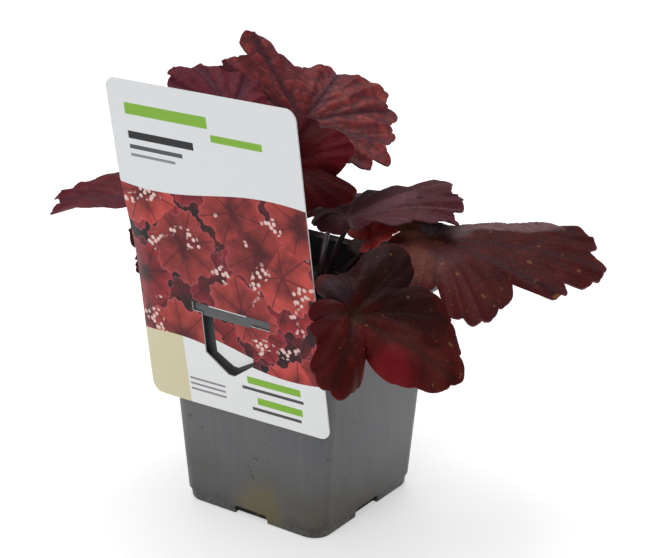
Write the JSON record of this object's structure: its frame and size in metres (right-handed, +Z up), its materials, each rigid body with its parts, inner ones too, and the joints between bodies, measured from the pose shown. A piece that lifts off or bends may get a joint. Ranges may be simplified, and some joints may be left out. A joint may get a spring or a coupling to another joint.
{
  "type": "potted heuchera plant",
  "caption": "Red-leaved heuchera with lobed leaves on slender stalks, rooted in soil in a square tapered nursery pot with a label card hooked on its lip.",
  "frame": {"origin": "middle of the pot's flat foot, on the surface it stands on", "axes": "+Z up; the pot's sides lie along X and Y; the label card hangs on the -Y side"},
  "size_m": [0.2046, 0.1656, 0.1888],
  "materials": {
    "pot_plastic": "thin thermoformed grey sheet, satin, faint upright streaks",
    "potting_soil": "loose dark peat and bark crumbs, matt",
    "rootstock": "brown woody rootstock, rough",
    "leaf_crimson": "dark crimson leaf, semi-gloss, puckered between sunken veins",
    "leaf_purple": "purple-red leaf with paler veins, semi-gloss",
    "leaf_bronze": "brownish red leaf with tan specks, semi-gloss",
    "leaf_bright": "bright red young leaf, semi-gloss",
    "card_plastic": "white plastic sheet with a plain printed leaf design, satin"
  },
  "bodies": {
    "root": {"pot": "pot_plastic", "soil": "potting_soil", "crown": "rootstock", "leaf_crest": "leaf_crimson", "leaf_upper_left": "leaf_purple", "leaf_upright": "leaf_crimson", "leaf_left": "leaf_purple", "leaf_low_left": "leaf_crimson", "leaf_middle": "leaf_purple", "leaf_right": "leaf_bronze", "leaf_young": "leaf_bright", "leaf_front": "leaf_crimson", "leaf_inner": "leaf_bronze", "leaf_back_left": "leaf_purple", "leaf_back": "leaf_crimson", "leaf_behind_card": "leaf_bronze", "label_card": "card_plastic"}
  },
  "joints": []
}
